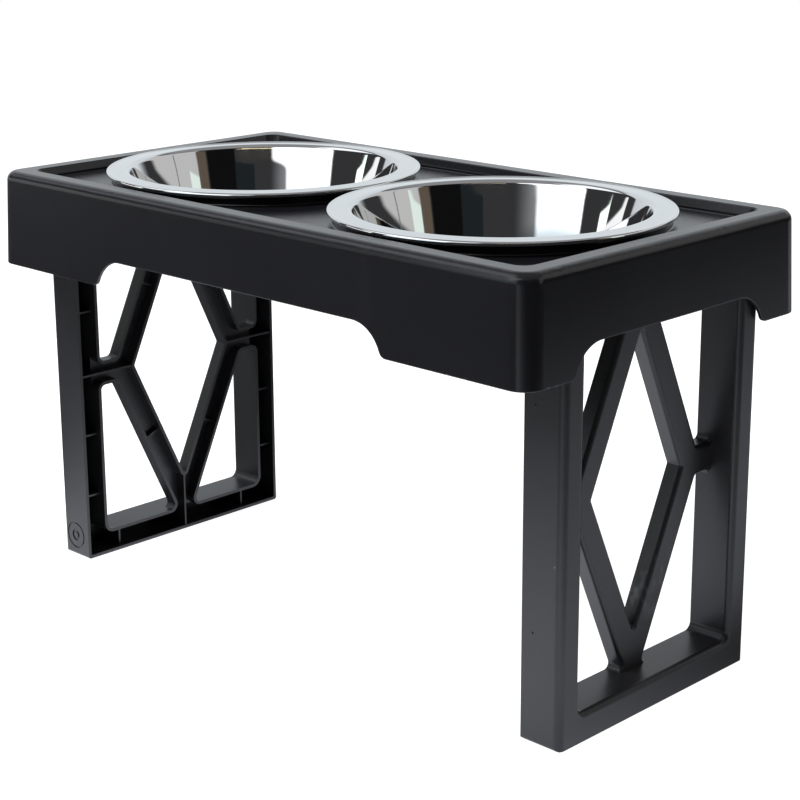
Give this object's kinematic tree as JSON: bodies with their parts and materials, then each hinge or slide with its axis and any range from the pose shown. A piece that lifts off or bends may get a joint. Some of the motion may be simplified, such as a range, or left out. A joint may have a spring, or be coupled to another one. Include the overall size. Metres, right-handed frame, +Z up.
{
  "type": "elevated dog feeder",
  "caption": "Raised pet feeder: a moulded tray with a deep skirt holds lift-out steel bowls and stands on plug-in leg frames with a diamond lattice.",
  "frame": {"origin": "on the floor, under the middle of the tray", "axes": "+X along the tray's long side to the right, +Y from front to back, +Z up"},
  "size_m": [0.512, 0.274, 0.3076],
  "materials": {
    "tray_plastic": "fine satin moulded black, soft sheen on the rounded rim",
    "leg_plastic": "fine matt moulded black, thin ribs inside the channel",
    "bowl_steel": "mirror polished stainless sheet with a rolled edge",
    "pad_rubber": "dull soft rubber"
  },
  "bodies": {
    "tray": {"tray": "tray_plastic"},
    "bowl_left": {"bowl_left": "bowl_steel"},
    "bowl_right": {"bowl_right": "bowl_steel"},
    "leg_left": {"leg_frame_left": "leg_plastic", "foot_pad_left_front": "pad_rubber", "foot_pad_left_back": "pad_rubber"},
    "leg_right": {"leg_frame_right": "leg_plastic", "foot_pad_right_front": "pad_rubber", "foot_pad_right_back": "pad_rubber"}
  },
  "joints": [
    {"name": "bowl_left_lift", "type": "slide", "parent": "tray", "child": "bowl_left", "axis": [0, 0, 1], "range_m": [0, 0.09]},
    {"name": "bowl_right_lift", "type": "slide", "parent": "tray", "child": "bowl_right", "axis": [0, 0, 1], "range_m": [0, 0.09]},
    {"name": "leg_left_pull", "type": "slide", "parent": "tray", "child": "leg_left", "axis": [0, 0, -1], "range_m": [0, 0.06]},
    {"name": "leg_right_pull", "type": "slide", "parent": "tray", "child": "leg_right", "axis": [0, 0, -1], "range_m": [0, 0.06]}
  ]
}
